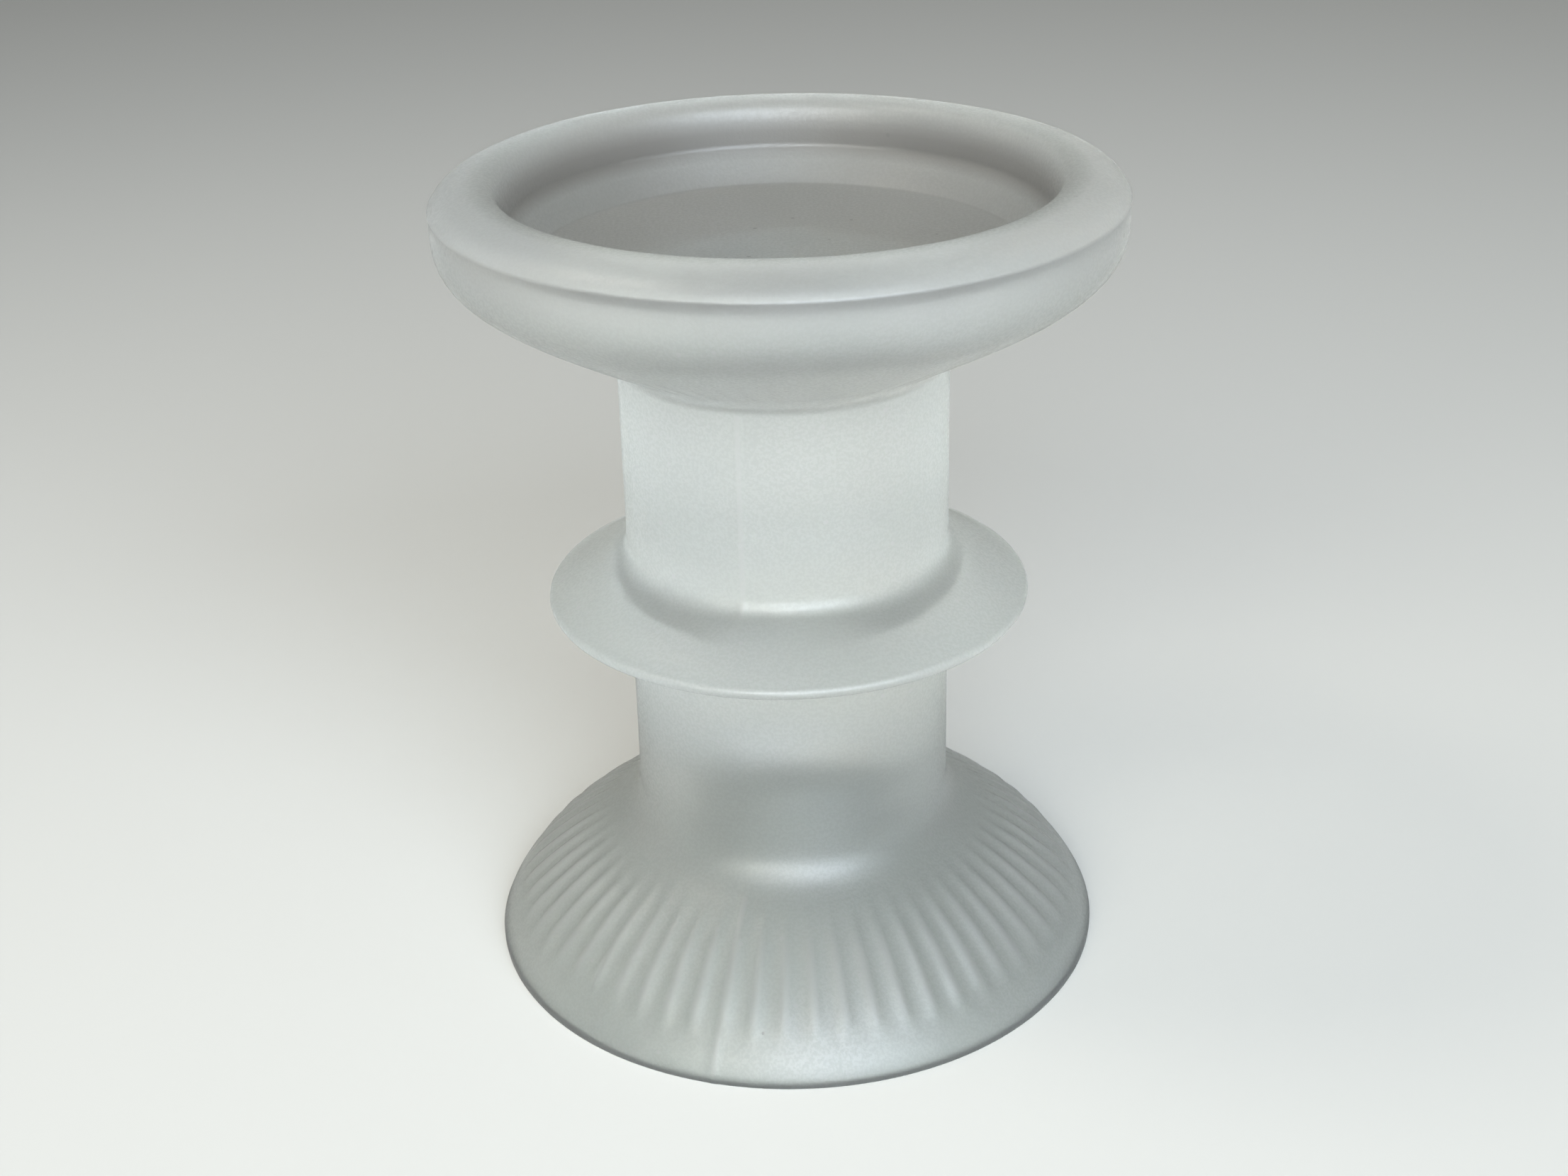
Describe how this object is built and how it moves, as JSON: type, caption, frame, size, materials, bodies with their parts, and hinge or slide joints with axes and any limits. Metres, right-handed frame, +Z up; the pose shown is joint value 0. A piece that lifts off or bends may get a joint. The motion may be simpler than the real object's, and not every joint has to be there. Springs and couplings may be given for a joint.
{
  "type": "tealight holder",
  "caption": "Spool-shaped tealight holder in frosted pressed glass: dished cup, solid stem with a sloping collar, hollow ribbed bell foot.",
  "frame": {"origin": "middle of the ring that the foot stands on, at table height", "axes": "+Z up along the axis that the holder is turned about; the mould seams lie near -Y and +Y"},
  "size_m": [0.0824, 0.0824, 0.1034],
  "materials": {
    "frosted_glass": "acid-frosted pressed glass, milky, pale green-grey, satin"
  },
  "bodies": {
    "root": {"glass_holder": "frosted_glass"}
  },
  "joints": []
}
